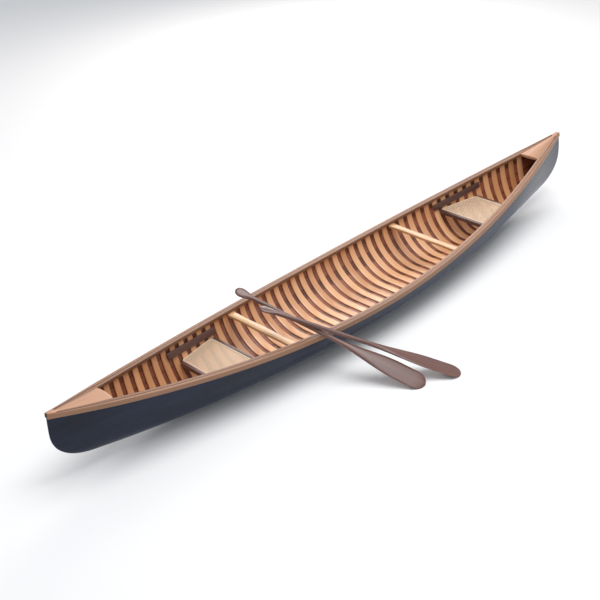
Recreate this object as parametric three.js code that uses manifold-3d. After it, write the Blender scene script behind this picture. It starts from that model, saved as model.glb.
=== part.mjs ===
// A wood-and-canvas canoe with its two paddles. Millimetres, +X towards the stern, +Y to starboard, +Z up.
// The origin is on the flat of the bottom, amidships, on the centreline.
import * as THREE from 'three';
import { mergeVertices } from 'three/addons/utils/BufferGeometryUtils.js';
import Module from 'manifold-3d';

const wasm = await Module();
wasm.setup();

// Hull lines
const LENGTH = 4880;
const BEAM = 804;
const DEPTH = 264;
const END_HEIGHT = 513;
const NOSE_WIDTH = 20;
const FLAT_KEEL = 1400;
const FOREFOOT_X = 2200;
const FOREFOOT_Z = 124;
const STEM_TOP_OF_CURVE = 360;
const STEM_SWEEP = 130;
const RECURVE = 12;
const STATION_BEFORE_FOREFOOT = 2110;

// Layers of the wall, as distances inwards from the canvas's outer face
const CANVAS_IN = 2;
const PLANK_OUT = 2.4;
const PLANK_IN = 7.2;
const RIB_OUT = 7.7;
const RIB_IN = 15.7;

// Ribs
const RIB_PITCH = 83.5;
const RIB_WIDTH = 52;
const RIBS_EACH_SIDE = 25;
const RIB_TOP_DROP = 8;

// Gunwales, decks and thwarts
const FIT_GAP = 0.5;
const SKIN_TOP_DROP = 1;
const INWALE_WIDTH = 15;
const INWALE_HEIGHT = 21;
const INWALE_END_X = 2375;
const OUTWALE_WIDTH = 17;
const OUTWALE_TIP_WIDTH = 5;
const OUTWALE_TAPER = 420;
const OUTWALE_HEIGHT = 30;
const OUTWALE_EASES = [5, 7, 3];
const DECK_EDGE_X = 2036;
const DECK_END_X = 2418;
const DECK_THICKNESS = 18;
const DECK_CAMBER = 6;
const DECK_EDGE_RADIUS = 600;
const DECK_BLANK_START_X = 2004;
const DECK_CAMBER_HALF_WIDTH = 60;
const THWART_WIDTH = 56;
const THWART_THICKNESS = 22;
const THWART_CORNER = 7;
const THWARTS = { thwart_forward: -830, thwart_aft: 768 };

// Seats, named by the end of the hull that they are in
const RAIL_WIDTH = 24;
const RAIL_HEIGHT = 30;
const STRETCHER_WIDTH = 26;
const STRETCHER_HEIGHT = 22;
const CANE_THICKNESS = 4;
const RAIL_END_GAP = 1;
const SEAT_SIDE_GAP = 2;
const SEATS = {
  bow: { from: -1360, to: -1024, top: 203 },
  stern: { from: 1226, to: 1604, top: 226 },
};
const CLEATS = { bow: [-1440, -996], stern: [1182, 1634] };
const CLEAT_DROP = 56;
const CLEAT_HEIGHT = 42;
const CLEAT_THICKNESS = 12;
const CLEAT_GAP = 2;

// Paddles, leaning on the port gunwale with their tips on the ground
const PADDLE_LENGTH = 1360;
const SHAFT_RADIUS = 14.5;
const BLADE_LENGTH = 660;
const BLADE_WIDTH = 132;
const BLADE_EDGE = 4.5;
const TIP_ROUND = 75;
const GRIP_LENGTH = 140;
const GRIP_WIDTH = 68;
const GRIP_THINNING = 4;
const GRIP_ROUND = 40;
const PADDLE_SIDES = 12;
const GROUND_GAP = 0.5;
const PADDLES = {
  paddle_forward: { tip: [-371, -992], heading: 25.54, tilt: 23.93, roll: -20 },
  paddle_aft: { tip: [-128, -1086], heading: 36.9, tilt: 21.15, roll: 0 },
};

const COLOURS = {
  canvas: [0x2b3140, 0.45],
  planking: [0x9a5a3c, 0.6],
  rib: [0xd9a478, 0.5],
  stem: [0xb98656, 0.6],
  inwale: [0xab7755, 0.45],
  outwale: [0xb78b6c, 0.45],
  deck: [0xd0a183, 0.4],
  thwart: [0xd2a27c, 0.45],
  rail: [0x6d4b45, 0.5],
  stretcher: [0x7a5646, 0.6],
  cane: [0xdcc0a0, 0.7],
  cleat: [0x63463e, 0.5],
  paddle: [0x8a6258, 0.35],
};

const along = (x) => Math.min(1, Math.abs(x) / (LENGTH / 2));
const mix = THREE.MathUtils.lerp;

// ---- Hull lines: everything that touches the hull is worked out from these ----

function halfBeam(x) {
  const nose = NOSE_WIDTH / 2;
  return nose + (BEAM / 2 - nose) * (1 - along(x) ** 1.98) ** 1.09;
}

function sheerHeight(x) {
  return DEPTH + (END_HEIGHT - DEPTH) * along(x) ** 1.87;
}

// The keel line is flat amidships, lifts gently to the forefoot and then turns up into the stem.
function keelRise(x) {
  const run = Math.max(0, Math.abs(x) - FLAT_KEEL / 2) / (FOREFOOT_X - FLAT_KEEL / 2);
  return FOREFOOT_Z * run ** 2.6;
}

const KEEL_SLOPE = (2.6 * FOREFOOT_Z) / (FOREFOOT_X - FLAT_KEEL / 2);
const stemCurve = new THREE.CubicBezierCurve(
  new THREE.Vector2(FOREFOOT_X, FOREFOOT_Z),
  new THREE.Vector2(FOREFOOT_X + STEM_SWEEP, FOREFOOT_Z + STEM_SWEEP * KEEL_SLOPE),
  new THREE.Vector2(LENGTH / 2, STEM_TOP_OF_CURVE - STEM_SWEEP),
  new THREE.Vector2(LENGTH / 2, STEM_TOP_OF_CURVE),
);

// The stations of one half of the hull: a point of the keel line and its inward normal at each.
function halfStations() {
  const stations = [];
  const straight = [];
  for (let gap = 0; gap < RIBS_EACH_SIDE; gap += 2) straight.push(gap * RIB_PITCH);
  straight.push(RIBS_EACH_SIDE * RIB_PITCH, STATION_BEFORE_FOREFOOT);
  for (const x of straight) {
    const slope = keelRise(x + 0.5) - keelRise(x - 0.5);
    const normal = new THREE.Vector2(-slope, 1).normalize();
    stations.push({ point: new THREE.Vector2(x, keelRise(x)), normal });
  }
  for (const t of [0, 0.3, 0.55, 0.75, 0.9, 1]) {
    const tangent = stemCurve.getTangent(t);
    stations.push({ point: stemCurve.getPoint(t), normal: new THREE.Vector2(-tangent.y, tangent.x) });
  }
  return stations;
}

const HALF = halfStations();
const mirrored = HALF.slice(1).reverse().map(({ point, normal }) => ({
  point: new THREE.Vector2(-point.x, point.y),
  normal: new THREE.Vector2(-normal.x, normal.y),
}));
const STATIONS = [...mirrored, ...HALF];

function keelHeight(x) {
  const reach = Math.abs(x);
  if (reach <= FOREFOOT_X) return keelRise(x);
  let [low, high] = [0, 1];
  for (let step = 0; step < 24; step += 1) {
    const middle = (low + high) / 2;
    if (stemCurve.getPoint(middle).x < reach) low = middle;
    else high = middle;
  }
  return stemCurve.getPoint(low).y;
}

// Half of the cross-section at x, from the keel up to the sheer, moved inwards by `inset`:
// a flat floor, then a quarter of a superellipse that is full amidships and sharper at the ends.
const GIRTH_STEPS = 9;

function halfSection(x, keelZ, inset) {
  const reach = Math.max(0.5, halfBeam(x) - inset);
  const floor = (0.02 + 0.18 * (1 - along(x) ** 2)) * reach;
  const rise = sheerHeight(x) - keelZ;
  const power = 2 / (2.05 - 0.4 * along(x) ** 0.8);
  const points = [new THREE.Vector2(0, keelZ)];
  for (let step = 0; step < GIRTH_STEPS; step += 1) {
    const angle = ((step / (GIRTH_STEPS - 1)) * Math.PI) / 2;
    const y = floor + (reach - floor) * Math.sin(angle) ** power;
    const z = keelZ + rise * (1 - Math.max(0, Math.cos(angle)) ** power);
    points.push(new THREE.Vector2(y, z));
  }
  return points;
}

// How far out the wall is at height z, on the flat facets between the stations.
function stationWallY(x, z, inset) {
  const points = halfSection(x, keelHeight(x) + inset, inset);
  for (let i = 1; i < points.length; i += 1) {
    const [a, b] = [points[i - 1], points[i]];
    if (z <= b.y) return mix(a.x, b.x, Math.max(0, (z - a.y) / (b.y - a.y || 1)));
  }
  return points.at(-1).x;
}

function wallY(x, z, inset) {
  const reach = Math.min(Math.abs(x), LENGTH / 2 - 1);
  const next = HALF.findIndex(({ point }) => point.x > reach);
  const [a, b] = [HALF[next - 1].point.x, HALF[next].point.x];
  return mix(stationWallY(a, z, inset), stationWallY(b, z, inset), (reach - a) / (b - a));
}

// ---- Solids ----

// The triangles that close a flat ring, as triples of its points' numbers.
function capTriangles(ring) {
  const normal = new THREE.Vector3();
  ring.forEach((p, i) => normal.add(new THREE.Vector3().crossVectors(p, ring[(i + 1) % ring.length])));
  const u = new THREE.Vector3().subVectors(ring[1], ring[0]).normalize();
  const v = new THREE.Vector3().crossVectors(normal.normalize(), u);
  const flat = ring.map((p) => new THREE.Vector2(p.dot(u), p.dot(v)));
  return THREE.ShapeUtils.triangulateShape(flat, []);
}

// A closed body through a row of rings, each with the same number of points.
function loft(rings) {
  const count = rings[0].length;
  const positions = rings.flat().flatMap((p) => [p.x, p.y, p.z]);
  const index = [];
  for (let r = 0; r < rings.length - 1; r += 1) {
    for (let i = 0; i < count; i += 1) {
      const j = (i + 1) % count;
      const [a, b, c, d] = [r * count + i, r * count + j, (r + 1) * count + i, (r + 1) * count + j];
      index.push(a, b, d, a, d, c);
    }
  }
  const last = (rings.length - 1) * count;
  for (const [a, b, c] of capTriangles(rings[0])) index.push(c, b, a);
  for (const [a, b, c] of capTriangles(rings.at(-1))) index.push(last + a, last + b, last + c);
  const geometry = new THREE.BufferGeometry();
  geometry.setAttribute('position', new THREE.Float32BufferAttribute(positions, 3));
  geometry.setIndex(index);
  return faceOutwards(geometry);
}

function faceOutwards(geometry) {
  const p = geometry.attributes.position;
  const index = geometry.index.array;
  const [a, b, c] = [new THREE.Vector3(), new THREE.Vector3(), new THREE.Vector3()];
  let volume = 0;
  for (let i = 0; i < index.length; i += 3) {
    a.fromBufferAttribute(p, index[i]);
    b.fromBufferAttribute(p, index[i + 1]);
    c.fromBufferAttribute(p, index[i + 2]);
    volume += a.dot(b.cross(c));
  }
  if (volume < 0) geometry.setIndex([...index].reverse());
  return geometry;
}

function solid(geometry) {
  const bare = geometry.clone();
  bare.deleteAttribute('normal');
  bare.deleteAttribute('uv');
  const merged = mergeVertices(bare, 1e-4);
  return new wasm.Manifold(new wasm.Mesh({
    numProp: 3,
    vertProperties: new Float32Array(merged.attributes.position.array),
    triVerts: new Uint32Array(merged.index.array),
  }));
}

function toGeometry(body) {
  const mesh = body.getMesh();
  const geometry = new THREE.BufferGeometry();
  geometry.setAttribute('position', new THREE.Float32BufferAttribute(mesh.vertProperties, 3));
  geometry.setIndex([...mesh.triVerts]);
  return geometry;
}

// The hull filled solid to the sheer, its face moved inwards by `inset` and its top by `lift`.
function hullSolid(inset, lift) {
  const rings = STATIONS.map(({ point, normal }) => {
    const x = point.x + normal.x * inset;
    const half = halfSection(x, point.y + normal.y * inset, inset);
    const [below, top] = half.slice(-2);
    if (lift > 0) half.push(new THREE.Vector2(top.x, top.y + lift));
    else half[half.length - 1] = below.clone().lerp(top, 1 + lift / (top.y - below.y));
    const starboard = half.map((p) => new THREE.Vector3(x, p.x, p.y));
    const port = half.slice(1).reverse().map((p) => new THREE.Vector3(x, -p.x, p.y));
    return [...port, ...starboard];
  });
  return solid(loft(rings));
}

const CUT_ABOVE_SHEER = 40;

function hullLayer(outside, inside, topDrop) {
  return hullSolid(outside, -topDrop).subtract(hullSolid(inside, CUT_ABOVE_SHEER));
}

// A bar that follows the gunwale: `corners(x)` gives its section as [y, z] pairs on the starboard side.
function gunwaleBar(xs, corners, side) {
  return loft(xs.map((x) => corners(x).map(([y, z]) => new THREE.Vector3(x, side * y, z))));
}

// A plan outline, raised into a plate between two heights.
function plate(outline, bottom, top) {
  const shape = new THREE.Shape(outline.map(([x, y]) => new THREE.Vector2(x, y)));
  const geometry = new THREE.ExtrudeGeometry(shape, { depth: top - bottom, bevelEnabled: false });
  return geometry.translate(0, 0, bottom);
}

// The heads of both stems lean back a little above the fullest part of their curve, with all that is on them.
function pullBackStemHeads(geometry) {
  const p = geometry.attributes.position;
  for (let i = 0; i < p.count; i += 1) {
    const beyond = Math.max(0, Math.abs(p.getX(i)) - FOREFOOT_X) / (LENGTH / 2 - FOREFOOT_X);
    const above = Math.max(0, p.getZ(i) - STEM_TOP_OF_CURVE) / (END_HEIGHT - STEM_TOP_OF_CURVE);
    p.setX(i, p.getX(i) - Math.sign(p.getX(i)) * RECURVE * beyond * above);
  }
  return geometry;
}

const canoe = new THREE.Group();

function addNode(name, geometry, look) {
  const [color, roughness] = COLOURS[look];
  const material = new THREE.MeshStandardMaterial({ color, roughness, metalness: 0 });
  const mesh = new THREE.Mesh(pullBackStemHeads(geometry), material);
  mesh.name = name;
  canoe.add(mesh);
  return mesh;
}

// ---- Hull: canvas, planking, ribs and stems ----

addNode('canvas_skin', toGeometry(hullLayer(0, CANVAS_IN, SKIN_TOP_DROP)), 'canvas');
addNode('planking', toGeometry(hullLayer(PLANK_OUT, PLANK_IN, SKIN_TOP_DROP)), 'planking');

// Every second rib; the ribs between them are of the same make and size.
const ribLayer = hullLayer(RIB_OUT, RIB_IN, RIB_TOP_DROP);
for (let number = 1; number <= RIBS_EACH_SIDE; number += 2) {
  for (const [end, side] of [['bow', -1], ['stern', 1]]) {
    const slab = new THREE.BoxGeometry(RIB_WIDTH, 2 * BEAM, 2 * END_HEIGHT);
    slab.translate(side * (number - 0.5) * RIB_PITCH, 0, 0);
    const name = `rib_${end}_${String(number).padStart(2, '0')}`;
    addNode(name, toGeometry(ribLayer.intersect(solid(slab))), 'rib');
  }
}

// The stems are curved timbers inside the ends of the planking.
const STEM_THICKNESS = 10;
const STEM_DEPTH = 30;
const STEM_START_X = 2000;
const STEM_INSET = [RIB_IN + 6, 32];
const STEM_BELOW_DECK = 20;

function stem(side) {
  const curved = HALF.filter(({ point }) => point.x > STEM_START_X);
  const top = sheerHeight(LENGTH / 2) - DECK_THICKNESS - STEM_BELOW_DECK;
  const nose = { point: new THREE.Vector2(LENGTH / 2, top), normal: new THREE.Vector2(-1, 0) };
  const line = [...curved, nose];
  const rings = line.map(({ point, normal }, i) => {
    const inset = mix(...STEM_INSET, i / (line.length - 1));
    const corners = [[inset, 1], [inset, -1], [inset + STEM_DEPTH, -1], [inset + STEM_DEPTH, 1]];
    return corners.map(([depth, way]) => {
      const x = point.x + normal.x * depth;
      return new THREE.Vector3(side * x, (way * STEM_THICKNESS) / 2, point.y + normal.y * depth);
    });
  });
  return loft(rings);
}

addNode('stem_bow', stem(-1), 'stem');
addNode('stem_stern', stem(1), 'stem');

// ---- Gunwales ----

const INWALE_END_SLACK = 5;
const INWALE_BACK_GAP = 1;
const INWALE_CLOSED_WIDTH = 8;
const stationXs = STATIONS.map(({ point }) => point.x);
const inwaleXs = stationXs.filter((x) => Math.abs(x) < INWALE_END_X + INWALE_END_SLACK);

// The inwale's inner face stands in front of the ribs, then closes onto the planking under the deck.
function inwaleFace(x) {
  const lastRib = RIBS_EACH_SIDE * RIB_PITCH;
  const closing = Math.max(0, Math.abs(x) - lastRib) / (INWALE_END_X - lastRib);
  const inset = mix(RIB_IN + FIT_GAP + INWALE_WIDTH, PLANK_IN + FIT_GAP + INWALE_CLOSED_WIDTH, closing);
  return halfBeam(x) - inset;
}

// An L: the upright part stands inside the ribs, and a lip on top covers their ends.
function inwaleCorners(x) {
  const top = sheerHeight(x);
  const lip = top - RIB_TOP_DROP + FIT_GAP;
  const ribbed = Math.abs(x) <= RIBS_EACH_SIDE * RIB_PITCH;
  const back = (z) => wallY(x, z, ribbed ? RIB_IN : PLANK_IN) - (ribbed ? FIT_GAP : INWALE_BACK_GAP);
  const edge = (z) => wallY(x, z, PLANK_IN) - FIT_GAP;
  return [
    [edge(top), top],
    [edge(lip), lip],
    [back(lip), lip],
    [back(top - INWALE_HEIGHT), top - INWALE_HEIGHT],
    [inwaleFace(x), top - INWALE_HEIGHT],
    [inwaleFace(x), top],
  ];
}

function outwaleCorners(x) {
  const top = sheerHeight(x);
  const fromTip = Math.min(1, (LENGTH / 2 - Math.abs(x)) / OUTWALE_TAPER);
  const width = mix(OUTWALE_TIP_WIDTH, OUTWALE_WIDTH, fromTip);
  const [easeIn, easeUp, easeTop] = OUTWALE_EASES.map((ease) => (ease * width) / OUTWALE_WIDTH);
  const inner = halfBeam(x) + FIT_GAP;
  const outer = inner + width;
  return [
    [inner, top],
    [inner, top - OUTWALE_HEIGHT],
    [outer - easeIn, top - OUTWALE_HEIGHT],
    [outer, top - OUTWALE_HEIGHT + easeUp],
    [outer, top - easeTop],
    [outer - easeTop, top],
  ];
}

for (const [side, way] of [['port', -1], ['starboard', 1]]) {
  addNode(`inwale_${side}`, gunwaleBar(inwaleXs, inwaleCorners, way), 'inwale');
  addNode(`outwale_${side}`, gunwaleBar(stationXs, outwaleCorners, way), 'outwale');
}

// ---- Decks: cambered boards between the inwales, their inner edge slightly rounded in plan ----

function deck(side) {
  const covered = HALF.map(({ point }) => point.x).filter((x) => x > DECK_EDGE_X && x < DECK_END_X);
  const rings = [DECK_BLANK_START_X, ...covered, DECK_END_X].map((x) => {
    const top = sheerHeight(x);
    const bottom = top - DECK_THICKNESS;
    const inside = x < INWALE_END_X + INWALE_END_SLACK ? inwaleFace(x) : wallY(x, bottom, PLANK_IN);
    const half = inside - FIT_GAP;
    const crown = top + DECK_CAMBER * Math.min(1, half / DECK_CAMBER_HALF_WIDTH);
    const corners = [[-half, bottom], [half, bottom], [half, top], [0, crown], [-half, top]];
    return corners.map(([y, z]) => new THREE.Vector3(side * x, y, z));
  });
  const disc = new THREE.CylinderGeometry(DECK_EDGE_RADIUS, DECK_EDGE_RADIUS, 2 * END_HEIGHT, 96);
  disc.rotateX(Math.PI / 2);
  disc.translate(side * (DECK_EDGE_X + DECK_EDGE_RADIUS), 0, END_HEIGHT);
  return toGeometry(solid(loft(rings)).intersect(solid(disc)));
}

addNode('deck_bow', deck(-1), 'deck');
addNode('deck_stern', deck(1), 'deck');

// ---- Thwarts: ash bars under the inwales ----

function roundedBar(width, height, length) {
  const [w, h, r] = [width / 2, height / 2, THWART_CORNER];
  const shape = new THREE.Shape();
  shape.moveTo(-w + r, -h);
  shape.lineTo(w - r, -h);
  shape.absarc(w - r, -h + r, r, -Math.PI / 2, 0);
  shape.lineTo(w, h - r);
  shape.absarc(w - r, h - r, r, 0, Math.PI / 2);
  shape.lineTo(-w + r, h);
  shape.absarc(-w + r, h - r, r, Math.PI / 2, Math.PI);
  shape.lineTo(-w, -h + r);
  shape.absarc(-w + r, -h + r, r, Math.PI, 1.5 * Math.PI);
  const geometry = new THREE.ExtrudeGeometry(shape, { depth: length, bevelEnabled: false, curveSegments: 3 });
  return geometry.translate(0, 0, -length / 2).rotateX(Math.PI / 2);
}

for (const [name, x] of Object.entries(THWARTS)) {
  const nearEdge = Math.abs(x) - THWART_WIDTH / 2;
  const top = sheerHeight(nearEdge) - INWALE_HEIGHT - FIT_GAP;
  const reach = wallY(Math.abs(x) + THWART_WIDTH / 2, top - THWART_THICKNESS, RIB_IN) - RAIL_END_GAP;
  const bar = addNode(name, roundedBar(THWART_WIDTH, THWART_THICKNESS, 2 * reach), 'thwart');
  bar.position.set(x, 0, top - THWART_THICKNESS / 2);
}

// ---- Seats: two rails across the hull, two stretchers between them, and woven cane over the frame ----

function across(x0, x1, y0, y1) {
  return [[x0, -y0], [x1, -y1], [x1, y1], [x0, y0]];
}

for (const [end, { from, to, top }] of Object.entries(SEATS)) {
  const railReach = (x) => wallY(x, top - RAIL_HEIGHT, RIB_IN) - RAIL_END_GAP;
  const rails = { front: from, rear: to - RAIL_WIDTH };
  for (const [place, x] of Object.entries(rails)) {
    const outline = across(x, x + RAIL_WIDTH, railReach(x), railReach(x + RAIL_WIDTH));
    addNode(`seat_${end}_rail_${place}`, plate(outline, top - RAIL_HEIGHT, top), 'rail');
  }
  const [x0, x1] = [from + RAIL_WIDTH + FIT_GAP, to - RAIL_WIDTH - FIT_GAP];
  const caneBottom = top - CANE_THICKNESS;
  const caneReach = (x) => wallY(x, caneBottom, RIB_IN) - SEAT_SIDE_GAP;
  addNode(`seat_${end}_cane`, plate(across(x0, x1, caneReach(x0), caneReach(x1)), caneBottom, top), 'cane');
  const frameTop = caneBottom - FIT_GAP;
  const frameBottom = frameTop - STRETCHER_HEIGHT;
  const frameReach = (x) => wallY(x, frameBottom, RIB_IN) - SEAT_SIDE_GAP;
  for (const [side, way] of [['port', -1], ['starboard', 1]]) {
    const outer = [x0, x1].map((x) => [x, way * frameReach(x)]);
    const inner = [x1, x0].map((x) => [x, way * (frameReach(x) - STRETCHER_WIDTH)]);
    const outline = way > 0 ? [...inner, ...outer] : [...outer, ...inner];
    addNode(`seat_${end}_stretcher_${side}`, plate(outline, frameBottom, frameTop), 'stretcher');
  }
  // The cleats are strips riveted to the ribs above each side of the seat.
  const [start, finish] = CLEATS[end];
  const between = stationXs.filter((x) => x > start + CLEAT_GAP && x < finish - CLEAT_GAP);
  const cleatCorners = (x) => {
    const high = sheerHeight(x) - CLEAT_DROP;
    const low = high - CLEAT_HEIGHT;
    const [upper, lower] = [high, low].map((z) => wallY(x, z, RIB_IN) - CLEAT_GAP);
    return [[upper, high], [lower, low], [lower - CLEAT_THICKNESS, low], [upper - CLEAT_THICKNESS, high]];
  };
  for (const [side, way] of [['port', -1], ['starboard', 1]]) {
    addNode(`seat_${end}_cleat_${side}`, gunwaleBar([start, ...between, finish], cleatCorners, way), 'cleat');
  }
}

// ---- Paddles: a long beavertail blade, a round shaft and a flattened grip, in one piece of wood ----

// Half the width and half the thickness of the paddle at a distance from the tip of the blade.
function paddleSection(s) {
  const { smoothstep } = THREE.MathUtils;
  const tip = s < TIP_ROUND ? Math.sqrt(1 - ((TIP_ROUND - s) / TIP_ROUND) ** 2) : 1;
  const neck = smoothstep(s, 0.3 * BLADE_LENGTH, BLADE_LENGTH);
  const handle = smoothstep(s, PADDLE_LENGTH - GRIP_LENGTH, PADDLE_LENGTH - GRIP_ROUND);
  const past = Math.max(0, (s - PADDLE_LENGTH + GRIP_ROUND) / GRIP_ROUND);
  const end = Math.sqrt(Math.max(0, 1 - past ** 2));
  const width = mix(BLADE_WIDTH / 2, SHAFT_RADIUS, neck) + handle * (GRIP_WIDTH / 2 - SHAFT_RADIUS);
  const thickness = mix(BLADE_EDGE, SHAFT_RADIUS, smoothstep(s, 0, BLADE_LENGTH)) - handle * GRIP_THINNING;
  return [Math.max(6, width * tip * end), Math.max(3, thickness * mix(0.6, 1, end))];
}

// Distances from the tip: close together round both ends, and evenly down the blade and the grip.
function paddleStations() {
  const quarter = [0, 1, 2, 3, 4].map((step) => 1 - Math.cos((step / 4) * (Math.PI / 2)));
  const even = (from, to, count) => Array.from({ length: count }, (_, i) => mix(from, to, (i + 1) / count));
  const gripStart = PADDLE_LENGTH - GRIP_LENGTH;
  return [
    ...quarter.map((share) => TIP_ROUND * share),
    ...even(TIP_ROUND, BLADE_LENGTH, 8),
    ...even(BLADE_LENGTH, gripStart, 2),
    ...even(gripStart, PADDLE_LENGTH - GRIP_ROUND, 3),
    ...quarter.reverse().slice(1).map((share) => PADDLE_LENGTH - GRIP_ROUND * share),
  ];
}

function paddle() {
  const rings = paddleStations().map((s) => {
    const [width, thickness] = paddleSection(s);
    return Array.from({ length: PADDLE_SIDES }, (_, i) => {
      const angle = (i / PADDLE_SIDES) * 2 * Math.PI;
      return new THREE.Vector3(width * Math.cos(angle), thickness * Math.sin(angle), s);
    });
  });
  return loft(rings);
}

for (const [name, { tip, heading, tilt, roll }] of Object.entries(PADDLES)) {
  const { degToRad } = THREE.MathUtils;
  const [turn, lean] = [degToRad(heading), degToRad(tilt)];
  const ahead = Math.cos(lean);
  const shaft = new THREE.Vector3(-Math.sin(turn) * ahead, Math.cos(turn) * ahead, Math.sin(lean));
  const level = new THREE.Vector3(shaft.y, -shaft.x, 0).normalize();
  const face = new THREE.Vector3().crossVectors(shaft, level);
  const mesh = addNode(name, paddle(), 'paddle');
  mesh.quaternion.setFromRotationMatrix(new THREE.Matrix4().makeBasis(level, face, shaft));
  mesh.rotateZ(degToRad(roll));
  mesh.position.set(...tip, 0);
  mesh.position.z = GROUND_GAP - new THREE.Box3().setFromObject(mesh, true).min.z;
}

export default canoe;
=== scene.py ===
"""A wood-and-canvas canoe and its two paddles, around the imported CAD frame. Metres, +X to the stern."""

import math
import random

import bpy
from mathutils import Matrix, Vector


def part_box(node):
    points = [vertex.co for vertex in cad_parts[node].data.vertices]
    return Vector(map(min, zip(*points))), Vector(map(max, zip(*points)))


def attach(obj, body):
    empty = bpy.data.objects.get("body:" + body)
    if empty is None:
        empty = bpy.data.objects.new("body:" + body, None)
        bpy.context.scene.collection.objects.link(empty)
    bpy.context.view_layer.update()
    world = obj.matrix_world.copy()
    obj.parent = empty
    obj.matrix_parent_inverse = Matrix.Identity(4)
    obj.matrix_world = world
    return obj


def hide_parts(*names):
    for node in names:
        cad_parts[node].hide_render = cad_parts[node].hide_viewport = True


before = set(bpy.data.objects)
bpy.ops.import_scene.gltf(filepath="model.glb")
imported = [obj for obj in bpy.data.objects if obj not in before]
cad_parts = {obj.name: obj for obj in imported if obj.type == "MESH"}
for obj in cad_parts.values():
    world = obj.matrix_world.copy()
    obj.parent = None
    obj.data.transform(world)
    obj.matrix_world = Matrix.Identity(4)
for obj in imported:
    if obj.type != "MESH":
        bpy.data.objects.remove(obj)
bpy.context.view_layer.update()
scene = bpy.context.scene


# ---- Camera: high over the port bow, so that the whole inside of the hull shows ----

AZIMUTH = math.radians(-43.35)
ELEVATION = math.radians(30.05)
ROLL = math.radians(-4.80)
DISTANCE = 8.06
AIM = Vector((0, 0, 0.213))
LENS = 69.4
SENSOR_WIDTH = 36
PICTURE_SHIFT = (-0.0863, -0.0247)

turn = Matrix.Rotation(AZIMUTH, 4, "Z") @ Matrix.Rotation(math.pi / 2 - ELEVATION, 4, "X")
turn = turn @ Matrix.Rotation(ROLL, 4, "Z")
bpy.ops.object.camera_add()
camera = bpy.context.object
camera.name = "camera"
camera.matrix_world = Matrix.Translation(AIM + DISTANCE * turn.col[2].xyz) @ turn
camera.data.lens = LENS
camera.data.sensor_width = SENSOR_WIDTH
camera.data.shift_x, camera.data.shift_y = PICTURE_SHIFT
scene.camera = camera


# ---- Studio: a pale floor, a white surround, and broad soft lights above ----

HULL_MIDDLE = Vector((0, 0, 0.2))
FLOOR_SIZE = 60

scene.view_settings.view_transform = "Standard"
world = bpy.data.worlds.new("white_surround")
scene.world = world
world.use_nodes = True
world.node_tree.nodes["Background"].inputs["Color"].default_value = (0.93, 0.96, 1, 1)
world.node_tree.nodes["Background"].inputs["Strength"].default_value = 0.62


def soft_light(name, place, size, power, colour=(1, 1, 1)):
    bpy.ops.object.light_add(type="AREA", location=place)
    light = bpy.context.object
    light.name = name
    light.data.shape = "DISK"
    light.data.size = size
    light.data.energy = power
    light.data.color = colour
    light.rotation_euler = (HULL_MIDDLE - Vector(place)).to_track_quat("-Z", "Y").to_euler()


soft_light("key_light", (0.5, -0.8, 6.0), size=5.0, power=290)
soft_light("far_panel", (4.6, 4.9, 3.8), size=4.5, power=190, colour=(1, 0.92, 0.88))

bpy.ops.object.select_all(action="DESELECT")
bpy.ops.mesh.primitive_plane_add(size=FLOOR_SIZE)
floor = bpy.context.object
floor.name = "studio_floor"
paper = bpy.data.materials.new("pale_floor")
paper.use_nodes = True
paper_shader = paper.node_tree.nodes["Principled BSDF"]
paper_shader.inputs["Base Color"].default_value = (0.90, 0.90, 0.90, 1)
paper_shader.inputs["Roughness"].default_value = 0.9
floor.data.materials.append(paper)


# ---- Canvas: one sheet of cotton duck stretched over the planking ----
# It is filled until its weave is gone, sanded, and finished in dark blue gloss enamel.
# Its upper edge is trapped under the outwales.

LENGTH = 4.88
BEAM = 0.804
DEPTH = 0.264
END_HEIGHT = 0.513
NOSE_WIDTH = 0.020
BEAM_POWER = 1.98
BEAM_FULLNESS = 1.09
SHEER_POWER = 1.87
KEEL_FLAT = 0.700
KEEL_POWER = 2.6
FOREFOOT = (2.200, 0.124)
STEM_STRAIGHT_Z = 0.360
STEM_ARC = 0.360
STEM_SWEEP = 0.130
RECURVE = 0.012
RECURVE_POWER = 1.4
FLOOR_WIDTH_AT_ENDS = 0.02
FLOOR_WIDTH_GAIN = 0.18
SECTION_FULLNESS = 2.05
SECTION_FINING = 0.4
FINING_POWER = 0.8
FLOOR_SHARE = 1 / 9
CANVAS_THICKNESS = 0.002
CANVAS_TOP_DROP = 0.008


def half_beam(x):
    share = min(1, abs(x) / (LENGTH / 2))
    nose = NOSE_WIDTH / 2
    return nose + (BEAM / 2 - nose) * (1 - share ** BEAM_POWER) ** BEAM_FULLNESS


def sheer(x):
    share = min(1, abs(x) / (LENGTH / 2))
    return DEPTH + (END_HEIGHT - DEPTH) * share ** SHEER_POWER


def keel_rise(x):
    run = max(0, abs(x) - KEEL_FLAT) / (FOREFOOT[0] - KEEL_FLAT)
    return FOREFOOT[1] * run ** KEEL_POWER


def keel_point(reach):
    """A point of the keel line and its inward normal, `reach` from amidships along the keel and the stem."""
    if reach <= FOREFOOT[0]:
        step = 0.001
        slope = (keel_rise(reach + step) - keel_rise(reach - step)) / (2 * step)
        return Vector((reach, keel_rise(reach))), Vector((-slope, 1)).normalized()
    t = min(1, (reach - FOREFOOT[0]) / STEM_ARC)
    slope = KEEL_POWER * FOREFOOT[1] / (FOREFOOT[0] - KEEL_FLAT)
    a = Vector(FOREFOOT)
    b = Vector((FOREFOOT[0] + STEM_SWEEP, FOREFOOT[1] + STEM_SWEEP * slope))
    c = Vector((LENGTH / 2, STEM_STRAIGHT_Z - STEM_SWEEP))
    d = Vector((LENGTH / 2, STEM_STRAIGHT_Z))
    point = a * (1 - t) ** 3 + b * 3 * t * (1 - t) ** 2 + c * 3 * t * t * (1 - t) + d * t ** 3
    tangent = (b - a) * (1 - t) ** 2 + (c - b) * 2 * t * (1 - t) + (d - c) * t * t
    return point, Vector((-tangent.y, tangent.x)).normalized()


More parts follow.
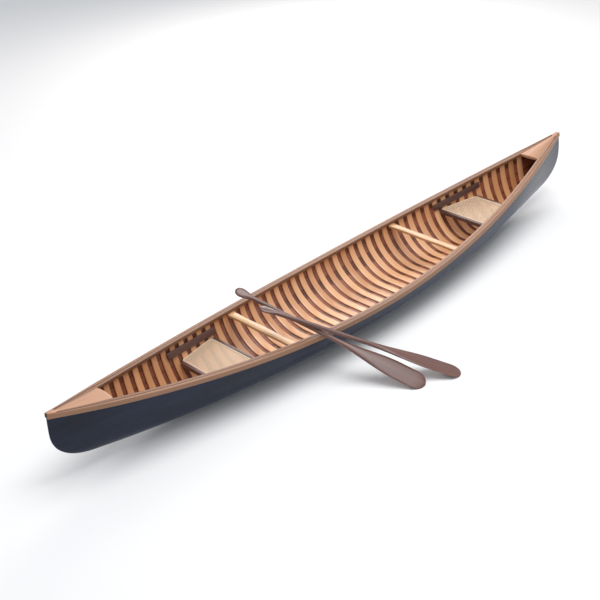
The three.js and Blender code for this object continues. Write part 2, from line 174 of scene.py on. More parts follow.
def section_half(x, keel_z, inset):
    """The floor's half width, the half breadth, the height and the fullness of the section at x."""
    share = min(1, abs(x) / (LENGTH / 2))
    breadth = max(0.0005, half_beam(x) - inset)
    floor_half = (FLOOR_WIDTH_AT_ENDS + FLOOR_WIDTH_GAIN * (1 - share ** 2)) * breadth
    power = 2 / (SECTION_FULLNESS - SECTION_FINING * share ** FINING_POWER)
    return floor_half, breadth, sheer(x) - keel_z, power


def hull_point(reach, girth, inset, top_drop=0.0):
    """A point of the hull: reach along the keel, girth from -1 at the port sheer to 1, inset inwards."""
    point, normal = keel_point(abs(reach))
    x = point.x + normal.x * inset
    keel_z = point.y + normal.y * inset
    floor_half, breadth, rise, power = section_half(x, keel_z, inset)
    up = abs(girth)
    if up < FLOOR_SHARE:
        y, z = floor_half * up / FLOOR_SHARE, keel_z
    else:
        top_angle = math.acos(min(1, (top_drop / rise) ** (1 / power)))
        angle = (up - FLOOR_SHARE) / (1 - FLOOR_SHARE) * top_angle
        y = floor_half + (breadth - floor_half) * math.sin(angle) ** power
        z = keel_z + rise * (1 - max(0, math.cos(angle)) ** power)
    return Vector((math.copysign(x, reach), math.copysign(y, girth), z))


def wall_y(x, z, inset):
    """How far out the hull's wall is at height z."""
    keel_z = keel_height(x) + inset
    floor_half, breadth, rise, power = section_half(x, keel_z, inset)
    up = max(0, min(1, (z - keel_z) / rise))
    sine = math.sqrt(max(0, 1 - (1 - up) ** (2 / power)))
    return floor_half + (breadth - floor_half) * sine ** power


def keel_height(x):
    reach = abs(x)
    if reach <= FOREFOOT[0]:
        return keel_rise(reach)
    low, high = FOREFOOT[0], FOREFOOT[0] + STEM_ARC
    for _ in range(24):
        middle = (low + high) / 2
        if keel_point(middle)[0].x < reach:
            low = middle
        else:
            high = middle
    return keel_point(low)[0].y


def pull_back(point):
    """Leans the heads of both stems back above the fullest part of their curve, with all that is on them."""
    beyond = max(0, abs(point.x) - FOREFOOT[0]) / (LENGTH / 2 - FOREFOOT[0])
    above = max(0, point.z - STEM_STRAIGHT_Z) / (END_HEIGHT - STEM_STRAIGHT_Z)
    point.x -= math.copysign(RECURVE * beyond * above ** RECURVE_POWER, point.x)
    return point


def slab(name, columns, rows, place, grain=None, bevel=0.0, smooth=40):
    """A flat grid given a thickness and then laid where `place(along, across, level)` puts each corner.

    along and across run from -1 to 1, and level is 0 on one face and 1 on the other. `grain` gives each
    corner's place in the wood: along the fibres, across them, and through."""
    bpy.ops.object.select_all(action="DESELECT")
    bpy.ops.mesh.primitive_grid_add(x_subdivisions=columns, y_subdivisions=rows, size=2)
    piece = bpy.context.object
    piece.name = name
    bpy.ops.object.mode_set(mode="EDIT")
    bpy.ops.mesh.select_all(action="SELECT")
    bpy.ops.mesh.extrude_region_move(TRANSFORM_OT_translate={"value": (0, 0, 1)})
    bpy.ops.object.mode_set(mode="OBJECT")
    flat = [vertex.co.copy() for vertex in piece.data.vertices]
    for vertex, corner in zip(piece.data.vertices, flat):
        vertex.co = pull_back(place(corner.x, corner.y, corner.z))
    if grain:
        fibres = piece.data.attributes.new("grain", "FLOAT_VECTOR", "POINT")
        for spot, corner in zip(fibres.data, flat):
            spot.vector = grain(corner.x, corner.y, corner.z)
    bpy.ops.object.mode_set(mode="EDIT")
    bpy.ops.mesh.select_all(action="SELECT")
    bpy.ops.mesh.normals_make_consistent(inside=False)
    bpy.ops.object.mode_set(mode="OBJECT")
    if bevel:
        ease = piece.modifiers.new("eased_edges", "BEVEL")
        ease.width = bevel
        ease.segments = 2
        ease.angle_limit = math.radians(35)
        bpy.ops.object.modifier_apply(modifier=ease.name)
    bpy.ops.object.shade_smooth_by_angle(angle=math.radians(smooth))
    return piece


def hull_reach(along):
    """Spreads columns over the half length, closer together round the forefoot."""
    share = abs(along)
    whole = FOREFOOT[0] + STEM_ARC
    return math.copysign(whole * (1 - (1 - share) ** 1.25), along)


def nose_round(point):
    """Rounds the hull's end in plan, over the last of its length."""
    start = LENGTH / 2 - NOSE_WIDTH / 2
    past = (abs(point.x) - start) / (NOSE_WIDTH / 2)
    if past > 0:
        point.y *= math.sqrt(max(0, 1 - min(1, past) ** 2))
    return point


def canvas_place(along, across, level):
    point = hull_point(hull_reach(along), across, level * CANVAS_THICKNESS, CANVAS_TOP_DROP)
    return nose_round(point)


def finish_material(name, coat=0.0, coat_roughness=0.1):
    material = bpy.data.materials.new(name)
    material.use_nodes = True
    shader = material.node_tree.nodes["Principled BSDF"]
    shader.inputs["Coat Weight"].default_value = coat
    shader.inputs["Coat Roughness"].default_value = coat_roughness
    return material, shader


def add_node(tree, kind, settings=None, **inputs):
    node = tree.nodes.new(kind)
    for key, value in (settings or {}).items():
        setattr(node, key, value)
    for key, value in inputs.items():
        socket = node.inputs[key.replace("_", " ")]
        if isinstance(value, bpy.types.NodeSocket):
            tree.links.new(value, socket)
        else:
            socket.default_value = value
    return node


def enamel_over_canvas():
    material, shader = finish_material("dark_blue_enamel")
    shader.inputs["Specular IOR Level"].default_value = 0.26
    shader.inputs["Sheen Weight"].default_value = 0.75
    shader.inputs["Sheen Roughness"].default_value = 0.15
    shader.inputs["Sheen Tint"].default_value = (0.50, 0.60, 1, 1)
    tree = material.node_tree
    place = add_node(tree, "ShaderNodeTexCoord").outputs["Object"]
    streaks = add_node(tree, "ShaderNodeMapping", Vector=place, Scale=(0.7, 3.0, 5.0)).outputs["Vector"]
    cloud = add_node(tree, "ShaderNodeTexNoise", Vector=streaks, Scale=1.6, Detail=4.0, Roughness=0.55)
    blues = add_node(tree, "ShaderNodeValToRGB", Fac=cloud.outputs["Fac"])
    blues.color_ramp.elements[0].position = 0.32
    blues.color_ramp.elements[0].color = (0.003, 0.006, 0.016, 1)
    blues.color_ramp.elements[1].position = 0.72
    blues.color_ramp.elements[1].color = (0.012, 0.019, 0.046, 1)
    gloss = add_node(tree, "ShaderNodeMapRange", Value=cloud.outputs["Fac"], To_Min=0.16, To_Max=0.30)
    weave = add_node(tree, "ShaderNodeTexNoise", Vector=place, Scale=420.0, Detail=2.0)
    waves = add_node(tree, "ShaderNodeTexNoise", Vector=streaks, Scale=7.0, Detail=2.0)
    relief = add_node(tree, "ShaderNodeMath", {"operation": "MULTIPLY_ADD"})
    tree.links.new(weave.outputs["Fac"], relief.inputs[0])
    relief.inputs[1].default_value = 0.06
    tree.links.new(waves.outputs["Fac"], relief.inputs[2])
    bump = add_node(tree, "ShaderNodeBump", Height=relief.outputs[0], Strength=0.12, Distance=0.003)
    tree.links.new(blues.outputs["Color"], shader.inputs["Base Color"])
    tree.links.new(gloss.outputs["Result"], shader.inputs["Roughness"])
    tree.links.new(bump.outputs["Normal"], shader.inputs["Normal"])
    return material


def fit(piece, material, node=None, body="hull"):
    """Gives a finished piece its material and its place in the frame."""
    piece.data.materials.clear()
    piece.data.materials.append(material)
    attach(piece, body)
    if node:
        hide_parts(node)


canvas = slab("canvas", 180, 63, canvas_place, smooth=60)
fit(canvas, enamel_over_canvas(), "canvas_skin")


# ---- Planking: thin cedar boards laid edge to edge over the ribs, fore and aft ----
# Each board is bent cold, tacked through every rib, and butted end to end between ribs.
# The strakes taper with the hull towards its ends.

PLANK_OUT = 0.0025
PLANK_IN = 0.0072
SEAM = 0.0007
STRAKES = 13
RIB_PITCH = 0.0835
SKIN_TOP_DROP = 0.001
BOARD_COLUMN = 0.042
BOARD_WIDTH = 0.070
GIRTH_TO_BEAM = 1.25
LEAST_GIRTH = 0.02
BUTT_RIBS = range(-20, 21, 4)
BUTTS_PER_STRAKE = 2
boards = random.Random(7)


def varnished_wood():
    """Wood under varnish: fibre streaks, broad figure and a tone of its own for each piece."""
    group = bpy.data.node_groups.new("varnished_wood", "ShaderNodeTree")
    for name, kind in (
        ("Pale", "NodeSocketColor"),
        ("Dark", "NodeSocketColor"),
        ("Figure", "NodeSocketFloat"),
        ("Gloss", "NodeSocketFloat"),
    ):
        group.interface.new_socket(name, in_out="INPUT", socket_type=kind)
    for name, kind in (
        ("Colour", "NodeSocketColor"),
        ("Roughness", "NodeSocketFloat"),
        ("Height", "NodeSocketFloat"),
    ):
        group.interface.new_socket(name, in_out="OUTPUT", socket_type=kind)
    ends = group.nodes.new("NodeGroupInput")
    out = group.nodes.new("NodeGroupOutput")
    fibres = add_node(group, "ShaderNodeAttribute", {"attribute_name": "grain"}).outputs["Vector"]

    def streak(scale, size, detail):
        stretched = add_node(group, "ShaderNodeVectorMath", {"operation": "MULTIPLY"})
        group.links.new(fibres, stretched.inputs[0])
        stretched.inputs[1].default_value = scale
        noise = add_node(group, "ShaderNodeTexNoise", Scale=size, Detail=detail, Roughness=0.6)
        group.links.new(stretched.outputs[0], noise.inputs["Vector"])
        return noise.outputs["Fac"]

    fine = streak((4, 150, 150), 1.5, 4.0)
    figure = streak((1.1, 16, 16), 1.7, 3.0)
    tone = streak((0.35, 1.2, 1.2), 1.0, 0.0)
    wide = add_node(group, "ShaderNodeMapRange", Value=tone, From_Min=0.40, From_Max=0.60)
    rings = add_node(group, "ShaderNodeMapRange", Value=figure, From_Min=0.28, From_Max=0.72)
    lines = add_node(group, "ShaderNodeMapRange", Value=fine, From_Min=0.30, From_Max=0.70)
    first = add_node(group, "ShaderNodeMix", {"data_type": "FLOAT"})
    group.links.new(ends.outputs["Figure"], first.inputs["Factor"])
    group.links.new(wide.outputs[0], first.inputs[2])
    group.links.new(rings.outputs[0], first.inputs[3])
    blend = add_node(group, "ShaderNodeMix", {"data_type": "FLOAT"})
    blend.inputs["Factor"].default_value = 0.28
    group.links.new(first.outputs[0], blend.inputs[2])
    group.links.new(lines.outputs[0], blend.inputs[3])
    colour = add_node(group, "ShaderNodeMix", {"data_type": "RGBA"})
    group.links.new(blend.outputs[0], colour.inputs["Factor"])
    group.links.new(ends.outputs["Dark"], colour.inputs[6])
    group.links.new(ends.outputs["Pale"], colour.inputs[7])
    rough = add_node(group, "ShaderNodeMath", {"operation": "MULTIPLY_ADD"})
    group.links.new(lines.outputs[0], rough.inputs[0])
    rough.inputs[1].default_value = 0.12
    group.links.new(ends.outputs["Gloss"], rough.inputs[2])
    group.links.new(colour.outputs[2], out.inputs["Colour"])
    group.links.new(rough.outputs[0], out.inputs["Roughness"])
    group.links.new(lines.outputs[0], out.inputs["Height"])
    return group


WOOD = varnished_wood()


def wood(name, pale, dark, figure=0.5, gloss=0.3, coat=0.35, relief=0.12):
    material, shader = finish_material(name, coat=coat, coat_roughness=0.24)
    tree = material.node_tree
    timber = add_node(tree, "ShaderNodeGroup", {"node_tree": WOOD})
    timber.inputs["Pale"].default_value = (*pale, 1)
    timber.inputs["Dark"].default_value = (*dark, 1)
    timber.inputs["Figure"].default_value = figure
    timber.inputs["Gloss"].default_value = gloss
    bump = add_node(tree, "ShaderNodeBump", Strength=relief, Distance=0.0006)
    tree.links.new(timber.outputs["Height"], bump.inputs["Height"])
    tree.links.new(timber.outputs["Colour"], shader.inputs["Base Color"])
    tree.links.new(timber.outputs["Roughness"], shader.inputs["Roughness"])
    tree.links.new(bump.outputs["Normal"], shader.inputs["Normal"])
    return material


def board(number, strake, start, end):
    """One board of a strake, between two distances along the keel."""
    low = -1 + 2 * strake / STRAKES
    high = low + 2 / STRAKES
    offset = boards.uniform(0, 50)
    columns = max(4, round((end - start) / BOARD_COLUMN))

    def reach_at(along):
        return start + (end - start) * (along + 1) / 2

    def place(along, across, level):
        reach = reach_at(along)
        seam = SEAM / max(LEAST_GIRTH, GIRTH_TO_BEAM * half_beam(min(abs(reach), LENGTH / 2)))
        girth = low + seam + (high - low - 2 * seam) * (across + 1) / 2
        girth = max(-1, min(1, girth))
        inset = PLANK_OUT + (PLANK_IN - PLANK_OUT) * level
        return nose_round(hull_point(reach, girth, inset, SKIN_TOP_DROP))

    def grain(along, across, level):
        return (reach_at(along) + offset, across * BOARD_WIDTH / 2 + offset, level * 0.005)

    return slab(f"board_{number}", columns, 5, place, grain)


hull_half = FOREFOOT[0] + STEM_ARC
pieces = []
for strake in range(STRAKES):
    butts = sorted(boards.sample(BUTT_RIBS, BUTTS_PER_STRAKE))
    cuts = [-hull_half, *[spot * RIB_PITCH for spot in butts], hull_half]
    for start, end in zip(cuts, cuts[1:]):
        pieces.append(board(len(pieces), strake, start + SEAM, end - SEAM))


def join(name, parts):
    bpy.ops.object.select_all(action="DESELECT")
    for part in parts:
        part.select_set(True)
    bpy.context.view_layer.objects.active = parts[0]
    bpy.ops.object.join()
    whole = bpy.context.object
    whole.name = name
    return whole


planking = join("planking_boards", pieces)
red_cedar = wood(
    "red_cedar", pale=(0.36, 0.118, 0.062), dark=(0.055, 0.010, 0.005),
    figure=0.3, gloss=0.30, coat=0.55,
)
fit(planking, red_cedar, "planking")


# ---- Ribs: white cedar, steamed and bent over a form from gunwale to gunwale ----
# They stand on a constant pitch and have eased edges. They narrow towards their heads,
# which are nailed to the inwales. Every second one has a node in the CAD.

RIB_WIDTH = 0.052
RIB_TAPER = 0.17
RIB_OUT = 0.0078
RIB_IN = 0.0157
RIBS_EACH_SIDE = 25
RIB_TOP_DROP = 0.008
RIB_HALF_LENGTH = 0.55
CAD_EVERY = 2
white_cedar = wood(
    "white_cedar", pale=(0.86, 0.49, 0.255), dark=(0.50, 0.210, 0.080),
    figure=0.3, gloss=0.30, coat=0.7,
)


def rib(name, centre, offset):
    def place(along, across, level):
        taper = 1 - RIB_TAPER * along ** 2
        reach = centre + across * taper * RIB_WIDTH / 2
        return hull_point(reach, along, RIB_OUT + (RIB_IN - RIB_OUT) * level, RIB_TOP_DROP)

    def grain(along, across, level):
        return (along * RIB_HALF_LENGTH + offset, across * RIB_WIDTH / 2 + offset, level * 0.008)

    return slab(name, 54, 3, place, grain, bevel=0.0016)


for number in range(1, RIBS_EACH_SIDE + 1):
    for end, side in (("bow", -1), ("stern", 1)):
        name = f"rib_{end}_{number:02d}"
        piece = rib(f"bent_{name}", side * (number - 0.5) * RIB_PITCH, boards.uniform(0, 50))
        fit(piece, white_cedar, name if number % CAD_EVERY else None)


# ---- Stems: ash, laminated thin and bent to the profile of each end ----
# The planking and the canvas are fastened to them, and they stop under the decks.

STEM_THICKNESS = 0.010
STEM_DEPTH = 0.030
STEM_START = 2.004
STEM_INSET = 0.018
STEM_INSET_GAIN = 0.012
STEM_BEND = 0.8
STEM_HEAD_RISE = 0.110
brown_ash = wood("brown_ash", (0.50, 0.28, 0.14), (0.30, 0.15, 0.07), gloss=0.35)


def stem(name, side):
    def place(along, across, level):
        share = (along + 1) / 2
        point, normal = keel_point(STEM_START + (hull_half - STEM_START) * min(1, share / STEM_BEND))
        if share > STEM_BEND:
            point.y += (share - STEM_BEND) / (1 - STEM_BEND) * STEM_HEAD_RISE
        point += normal * (STEM_INSET + STEM_INSET_GAIN * share + STEM_DEPTH * level)
        return Vector((side * point.x, across * STEM_THICKNESS / 2, point.y))

    def grain(along, across, level):
        return (along * 0.35 + side, across * 0.005, level * STEM_DEPTH)

    return slab(name, 40, 1, place, grain, bevel=0.001)


for end, side in (("bow", -1), ("stern", 1)):
    fit(stem(f"bent_stem_{end}", side), brown_ash, f"stem_{end}")


# ---- Gunwales: an inwale and an outwale of ash along each side, with the rib heads between them ----
# The inwale is rebated over the rib heads, and the outwale over the canvas's edge.
# They are screwed together through the ribs.

FIT_GAP = 0.0005
INWALE_WIDTH = 0.015
INWALE_HEIGHT = 0.021
INWALE_END = 2.375
INWALE_LIP = 0.0075
INWALE_END_WIDTH = 0.008
OUTWALE_WIDTH = 0.017
OUTWALE_TIP_WIDTH = 0.005
OUTWALE_TAPER = 0.42
OUTWALE_HEIGHT = 0.030
OUTWALE_LIP = 0.0065
LAST_RIB = RIBS_EACH_SIDE * RIB_PITCH
gunwale_ash = wood(
    "gunwale_ash", pale=(0.34, 0.170, 0.088), dark=(0.16, 0.070, 0.033),
    figure=0.35, gloss=0.42, coat=0.10,
)


def inwale_face(x):
    closing = max(0, abs(x) - LAST_RIB) / (INWALE_END - LAST_RIB)
    open_inset = RIB_IN + FIT_GAP + INWALE_WIDTH
    closed_inset = PLANK_IN + FIT_GAP + INWALE_END_WIDTH
    return half_beam(x) - open_inset - (closed_inset - open_inset) * closing


def inwale(name, side):
    def place(along, across, level):
        x = along * INWALE_END
        top = sheer(x)
        lip = top - INWALE_LIP
        low = top - INWALE_HEIGHT
        layer = RIB_IN if abs(x) <= LAST_RIB else PLANK_IN
        spot = round((across + 1) * 1.5)
        edge = wall_y(x, top, PLANK_IN) - FIT_GAP
        back = wall_y(x, lip, layer) - FIT_GAP
        toe = wall_y(x, low, layer) - 2 * FIT_GAP
        y = (edge, back, toe, inwale_face(x))[spot]
        z = top if level else (lip, lip, low, low)[spot]
        return Vector((x, side * y, z))

    def grain(along, across, level):
        return (along * INWALE_END + side * 7, across * 0.012, level * INWALE_HEIGHT + side)

    return slab(name, 120, 3, place, grain, bevel=0.0022)


def outwale(name, side):
    def place(along, across, level):
        x = along * LENGTH / 2
        top = sheer(x)
        inner = half_beam(x)
        taper = min(1, (LENGTH / 2 - abs(x)) / OUTWALE_TAPER)
        width = OUTWALE_TIP_WIDTH + (OUTWALE_WIDTH - OUTWALE_TIP_WIDTH) * taper
        spot = round((across + 1) * 1.5)
        y = inner + (-CANVAS_THICKNESS, FIT_GAP, 2 * FIT_GAP, FIT_GAP + width)[spot]
        z = top if level else top - (OUTWALE_LIP, OUTWALE_LIP, OUTWALE_HEIGHT, OUTWALE_HEIGHT)[spot]
        return Vector((x, side * y, z))

    def grain(along, across, level):
        return (along * LENGTH / 2 + side * 13, across * 0.012, level * OUTWALE_HEIGHT + side * 2)

    return slab(name, 122, 3, place, grain, bevel=0.003)


for way, side in (("port", -1), ("starboard", 1)):
    fit(inwale(f"ash_inwale_{way}", side), gunwale_ash, f"inwale_{way}")
    fit(outwale(f"ash_outwale_{way}", side), gunwale_ash, f"outwale_{way}")


# ---- Decks: a solid board let in between the inwales at each end ----
# The top is planed to a slight camber, and the inner edge is sawn to a shallow curve and rounded over.
# The point laps over the ends of the inwales as far as the nose.

DECK_EDGE = 2.036
DECK_END = 2.436
DECK_LAP = 0.003
DECK_LAP_RUN = 0.010
DECK_THICKNESS = 0.018
DECK_CAMBER = 0.006
DECK_FLATTENS_BELOW = 0.06
DECK_EDGE_RADIUS = 0.600
deck_cherry = wood(
    "deck_cherry", pale=(0.58, 0.315, 0.190), dark=(0.38, 0.180, 0.095),
    figure=0.7, gloss=0.42, coat=0.12,
)


def ease_in(value, start, end):
    share = max(0, min(1, (value - start) / (end - start)))
    return share * share * (3 - 2 * share)


def deck(name, side):
    def place(along, across, level):
        share = (along + 1) / 2
        edge_y = across * (inwale_face(DECK_EDGE) - FIT_GAP)
        start = DECK_EDGE + DECK_EDGE_RADIUS - math.sqrt(DECK_EDGE_RADIUS ** 2 - edge_y ** 2)
        x = start + (DECK_END - start) * share
        half = (inwale_face(x) if x < INWALE_END else half_beam(x)) - FIT_GAP
        crown = DECK_CAMBER * min(1, half / DECK_FLATTENS_BELOW) * (1 - across ** 2)
        lap = DECK_LAP * ease_in(x, INWALE_END - DECK_LAP_RUN, INWALE_END + DECK_LAP_RUN)
        under = DECK_THICKNESS + (FIT_GAP / 2 - DECK_THICKNESS) * min(1, lap / DECK_LAP)
        z = sheer(x) + (crown + lap if level else -under)
        return nose_round(Vector((side * x, across * half, z)))

    def grain(along, across, level):
        return (along * 0.19 + side * 5, across * 0.075, level * DECK_THICKNESS + side)

    return slab(name, 24, 10, place, grain, bevel=0.003)


for end, side in (("bow", -1), ("stern", 1)):
    fit(deck(f"cherry_deck_{end}", side), deck_cherry, f"deck_{end}")


# ---- Thwarts: two ash bars that hold the sides apart ----
# Each is shaped with a spokeshave, fuller at its middle, and bolted up under the inwales.

THWART_NODES = ("thwart_forward", "thwart_aft")
THWART_WAIST = 0.86
pale_ash = wood(
    "pale_ash", pale=(0.72, 0.430, 0.215), dark=(0.46, 0.240, 0.105),
    figure=0.6, gloss=0.30, coat=0.4,
)


def thwart(name, node):
    low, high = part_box(node)

    def place(along, across, level):
        y = (low[1] + high[1]) / 2 + along * (high[1] - low[1]) / 2
        waist = THWART_WAIST + (1 - THWART_WAIST) * math.cos(along * math.pi) ** 2
        x = (low[0] + high[0]) / 2 + across * waist * (high[0] - low[0]) / 2
        return Vector((x, y, high[2] if level else low[2]))

    def grain(along, across, level):
        return (along * 0.33 + low[0] * 9, across * 0.023, level * 0.02)

    return slab(name, 24, 1, place, grain, bevel=0.0065)


for node in THWART_NODES:
    fit(thwart(f"shaped_{node}", node), pale_ash, node)


# ---- Seats: two walnut rails across the hull, stretchers between them, and hand-woven cane ----
# The rails are bolted to the ribs. The cane is laid in pairs both ways and then along both diagonals.

walnut = wood("dark_walnut", (0.135, 0.066, 0.055), (0.065, 0.030, 0.025), gloss=0.34, coat=0.3)
CANE_PITCH = 0.0155
CANE_WIDTH = 0.0024
CANE_THICK = 0.0008
PAIR_GAP = 0.0016
STRAND_WAVE = 0.0004
LAYER_STEP = 0.0007
WEAVE_BASE = 0.0006
BINDER_WIDTH = 0.008
BINDER_THICK = 0.0012


def node_slab(name, node, columns, bevel, material):
    """A timber with the outline of its CAD node, whose two long edges run across the hull."""
    low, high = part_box(node)
    ends = {}
    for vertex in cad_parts[node].data.vertices:
        x = low[0] if abs(vertex.co.x - low[0]) < abs(vertex.co.x - high[0]) else high[0]
        least, most = ends.get(x, (vertex.co.y, vertex.co.y))
        ends[x] = (min(least, vertex.co.y), max(most, vertex.co.y))

    def place(along, across, level):
        share = (across + 1) / 2
        left = ends[low[0]]
        right = ends[high[0]]
        least = left[0] + (right[0] - left[0]) * share
        most = left[1] + (right[1] - left[1]) * share
        y = least + (most - least) * (along + 1) / 2
        return Vector((low[0] + (high[0] - low[0]) * share, y, high[2] if level else low[2]))

    def grain(along, across, level):
        long = (high[1] - low[1]) / 2
        return (along * long + low[0] * 5, across * 0.02 + low[1], level * 0.03)

    fit(slab(name, columns, 2, place, grain, bevel=bevel), material, node)


def cane():
    material, shader = finish_material("woven_cane", coat=0.25, coat_roughness=0.25)
    tree = material.node_tree
    place = add_node(tree, "ShaderNodeTexCoord").outputs["Object"]
    patches = add_node(tree, "ShaderNodeTexNoise", Vector=place, Scale=60.0, Detail=3.0)
    tones = add_node(tree, "ShaderNodeValToRGB", Fac=patches.outputs["Fac"])
    tones.color_ramp.elements[0].position = 0.30
    tones.color_ramp.elements[0].color = (0.72, 0.51, 0.34, 1)
    tones.color_ramp.elements[1].position = 0.70
    tones.color_ramp.elements[1].color = (0.82, 0.62, 0.44, 1)
    fibre = add_node(tree, "ShaderNodeTexNoise", Vector=place, Scale=900.0, Detail=2.0)
    bump = add_node(tree, "ShaderNodeBump", Height=fibre.outputs["Fac"], Strength=0.2, Distance=0.0004)
    rough = add_node(tree, "ShaderNodeMapRange", Value=patches.outputs["Fac"], To_Min=0.42, To_Max=0.62)
    tree.links.new(tones.outputs["Color"], shader.inputs["Base Color"])
    tree.links.new(rough.outputs["Result"], shader.inputs["Roughness"])
    tree.links.new(bump.outputs["Normal"], shader.inputs["Normal"])
    return material


woven_cane = cane()


def strand_set(name, centre, reach, direction, level, offsets, spread):
    """Parallel strands of cane over a square of half size `reach`, `spread` apart, each at its offsets."""
    count = math.ceil(2 * reach / spread)
    steps = math.ceil(2 * reach / (CANE_PITCH / 2))
    side = Vector((-direction.y, direction.x, 0))
    start = centre - side * (count // 2) * spread
    rows = []
    for offset in offsets:
        def place(along, across, top):
            run = along * reach
            wave = STRAND_WAVE * math.cos(run / CANE_PITCH * 2 * math.pi)
            edge = side * (offset + across * CANE_WIDTH / 2)
            return start + direction * run + edge + Vector((0, 0, level + wave + top * CANE_THICK))

        strand = slab(f"{name}_{len(rows)}", steps, 1, place)
        repeat = strand.modifiers.new("side_by_side", "ARRAY")
        repeat.count = count
        repeat.use_relative_offset = False
        repeat.use_constant_offset = True
        repeat.constant_offset_displace = side * spread
        bpy.ops.object.modifier_apply(modifier=repeat.name)
        rows.append(strand)
    return rows


def trim(piece, point, outwards):
    """Cuts a woven sheet off along a straight edge."""
    bpy.ops.object.select_all(action="DESELECT")
    piece.select_set(True)
    bpy.context.view_layer.objects.active = piece
    bpy.ops.object.mode_set(mode="EDIT")
    bpy.ops.mesh.select_all(action="SELECT")
    bpy.ops.mesh.bisect(plane_co=point, plane_no=outwards, use_fill=True, clear_outer=True)
    bpy.ops.object.mode_set(mode="OBJECT")


def cane_panel(name, node):
    low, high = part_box(node)
    corners = {}
    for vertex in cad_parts[node].data.vertices:
        key = vertex.co.x > (low[0] + high[0]) / 2
        corners[key] = max(corners.get(key, 0), vertex.co.y)
    centre = Vector(((low[0] + high[0]) / 2, 0, 0))
    reach = max(high[0] - low[0], high[1] - low[1]) / 2 * 1.05
    slant_reach = reach * 1.25
    pair = (-PAIR_GAP, PAIR_GAP)
    base = low[2] + WEAVE_BASE
    slant = CANE_PITCH / math.sqrt(2)
    strands = strand_set("lengthwise", centre, reach, Vector((1, 0, 0)), base, pair, CANE_PITCH)
    layer = base + LAYER_STEP
    strands += strand_set("crosswise", centre, reach, Vector((0, 1, 0)), layer, pair, CANE_PITCH)
    for turn_sign in (-1, 1):
        way = Vector((1, turn_sign, 0)).normalized()
        height = base + 2 * LAYER_STEP + (STRAND_WAVE if turn_sign > 0 else 0)
        strands += strand_set("slanting", centre, slant_reach, way, height, (slant / 2,), slant)
    sheet = join(name, strands)
    run = high[0] - low[0]
    trim(sheet, (low[0], 0, 0), (-1, 0, 0))
    trim(sheet, (high[0], 0, 0), (1, 0, 0))
    slope = (corners[True] - corners[False]) / run
    for side in (-1, 1):
        trim(sheet, (low[0], side * corners[False], 0), Vector((-slope, side, 0)).normalized())
    parts = [sheet]

    def half_at(x):
        return corners[False] + slope * (x - low[0])

    def border(name, inner, outer):
        def place(along, across, level):
            a = inner(along)
            b = outer(along)
            spot = a + (b - a) * (across + 1) / 2
            return Vector((spot.x, spot.y, high[2] - BINDER_THICK * (1 - level)))

        return slab(name, 12, 1, place, bevel=0.0004)

    for side in (-1, 1):
        def outer(along, side=side):
            x = low[0] + run * (along + 1) / 2
            return Vector((x, side * half_at(x), 0))

        def inner(along, side=side):
            return outer(along) - Vector((0, side * BINDER_WIDTH, 0))

        parts.append(border(f"binder_side_{side}", inner, outer))
    for x, step in ((low[0], BINDER_WIDTH), (high[0], -BINDER_WIDTH)):
        def far(along, x=x):
            return Vector((x, along * half_at(x), 0))

        def near(along, x=x, step=step):
            return Vector((x + step, along * half_at(x + step), 0))

        parts.append(border(f"binder_end_{step}", near, far))
    return join(name, parts)


for end in ("bow", "stern"):
    for part in ("rail_front", "rail_rear"):
        node = f"seat_{end}_{part}"
        node_slab(f"walnut_{node}", node, 8, 0.0025, walnut)
    for way in ("port", "starboard"):
        node = f"seat_{end}_stretcher_{way}"
        node_slab(f"walnut_{node}", node, 2, 0.002, walnut)
    panel = cane_panel(f"woven_seat_{end}", f"seat_{end}_cane")
    fit(panel, woven_cane, f"seat_{end}_cane")


# ---- Seat cleats: walnut strips along the ribs above each side of a seat ----
# They are sprung to the curve of the side and screwed to each rib that they cross.

CLEAT_DROP = 0.056
CLEAT_HEIGHT = 0.042
CLEAT_THICKNESS = 0.012
CLEAT_GAP = 0.002


def cleat(name, node, side):
    low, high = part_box(node)

    def place(along, across, level):
        x = low[0] + (high[0] - low[0]) * (along + 1) / 2
        z = sheer(x) - CLEAT_DROP - CLEAT_HEIGHT * (1 - across) / 2
        y = wall_y(x, z, RIB_IN) - CLEAT_GAP - CLEAT_THICKNESS * level
        return Vector((x, side * y, z))

    def grain(along, across, level):
        return (along * 0.22 + low[0] * 3, across * 0.021 + side, level * 0.012)

    return slab(name, 16, 1, place, grain, bevel=0.002)


for end in ("bow", "stern"):
    for way, side in (("port", -1), ("starboard", 1)):
        node = f"seat_{end}_cleat_{way}"
        fit(cleat(f"walnut_{node}", node, side), walnut, node)


# ---- Paddles: one length of dark hardwood each, carved to a long blade and a flattened grip ----
# They are oiled, and the blade is thickest down its middle.
# They lean on the port gunwale with their tips down, and the aft one lies over the other's shaft.

PADDLE_LENGTH = 1.360
SHAFT_RADIUS = 0.0145
BLADE_LENGTH = 0.660
BLADE_WIDTH = 0.132
BLADE_EDGE = 0.0045
TIP_ROUND = 0.075
GRIP_LENGTH = 0.140
GRIP_WIDTH = 0.068
GRIP_SHOULDER = 0.045
GRIP_ROUND = 0.040
GRIP_THINNING = 0.004
TIP_THINNING = 0.65
FACE_FULLNESS = 0.85
# Each paddle's tip on the floor, and its heading, tilt and roll in degrees.
PADDLES = {
    "paddle_forward": ((-0.371, -0.992), 25.54, 23.93, -20),
    "paddle_aft": ((-0.128, -1.086), 36.90, 21.15, 0),
}
oiled_hardwood = wood(
    "oiled_hardwood", pale=(0.225, 0.100, 0.078), dark=(0.055, 0.020, 0.014),
    figure=0.6, gloss=0.26, coat=0.35,
)


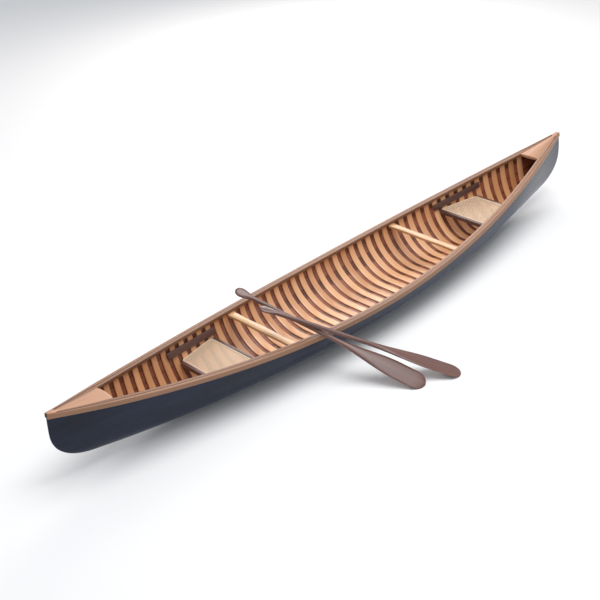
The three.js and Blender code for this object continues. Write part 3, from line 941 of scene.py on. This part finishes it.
def paddle_section(s):
    """Half the width and half the thickness of a paddle, `s` up from its tip."""
    tip = math.sqrt(max(0, 1 - ((TIP_ROUND - s) / TIP_ROUND) ** 2)) if s < TIP_ROUND else 1
    neck = ease_in(s, 0.3 * BLADE_LENGTH, BLADE_LENGTH)
    handle = ease_in(s, PADDLE_LENGTH - GRIP_LENGTH, PADDLE_LENGTH - GRIP_SHOULDER)
    past = (s - PADDLE_LENGTH + GRIP_ROUND) / GRIP_ROUND
    end = math.sqrt(max(0, 1 - past ** 2)) if past > 0 else 1
    width = BLADE_WIDTH / 2 + (SHAFT_RADIUS - BLADE_WIDTH / 2) * neck
    width += handle * (GRIP_WIDTH / 2 - SHAFT_RADIUS)
    thickness = BLADE_EDGE + (SHAFT_RADIUS - BLADE_EDGE) * ease_in(s, 0, BLADE_LENGTH)
    thickness -= handle * GRIP_THINNING
    return width * tip * end, thickness * (1 - TIP_THINNING * (1 - tip)) * end


def paddle(name, node, tip, heading, tilt, roll):
    bpy.ops.object.select_all(action="DESELECT")
    bpy.ops.mesh.primitive_uv_sphere_add(segments=32, ring_count=150, radius=1)
    piece = bpy.context.object
    piece.name = name
    heading, tilt = math.radians(heading), math.radians(tilt)
    ahead = Vector((-math.sin(heading), math.cos(heading), 0))
    shaft = ahead * math.cos(tilt) + Vector((0, 0, math.sin(tilt)))
    level = Vector((shaft.y, -shaft.x, 0)).normalized()
    face = shaft.cross(level)
    flat = level * math.cos(math.radians(roll)) + face * math.sin(math.radians(roll))
    thick = shaft.cross(flat)
    fibres = piece.data.attributes.new("grain", "FLOAT_VECTOR", "POINT")
    for vertex, spot in zip(piece.data.vertices, fibres.data):
        share = 1 - math.acos(max(-1, min(1, vertex.co.z))) / math.pi
        s = PADDLE_LENGTH * share
        width, thickness = paddle_section(s)
        angle = math.atan2(vertex.co.y, vertex.co.x)
        across = width * math.cos(angle)
        through = thickness * math.copysign(abs(math.sin(angle)) ** FACE_FULLNESS, math.sin(angle))
        vertex.co = Vector((*tip, 0)) + shaft * s + flat * across + thick * through
        spot.vector = (s + heading * 10, across, through + tilt * 10)
    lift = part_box(node)[0][2] - min(vertex.co.z for vertex in piece.data.vertices)
    for vertex in piece.data.vertices:
        vertex.co.z += lift
    bpy.ops.object.mode_set(mode="EDIT")
    bpy.ops.mesh.select_all(action="SELECT")
    bpy.ops.mesh.normals_make_consistent(inside=False)
    bpy.ops.object.mode_set(mode="OBJECT")
    bpy.ops.object.shade_smooth()
    return piece


for node, (tip, heading, tilt, roll) in PADDLES.items():
    piece = paddle(f"carved_{node}", node, tip, heading, tilt, roll)
    fit(piece, oiled_hardwood, node, body=node)
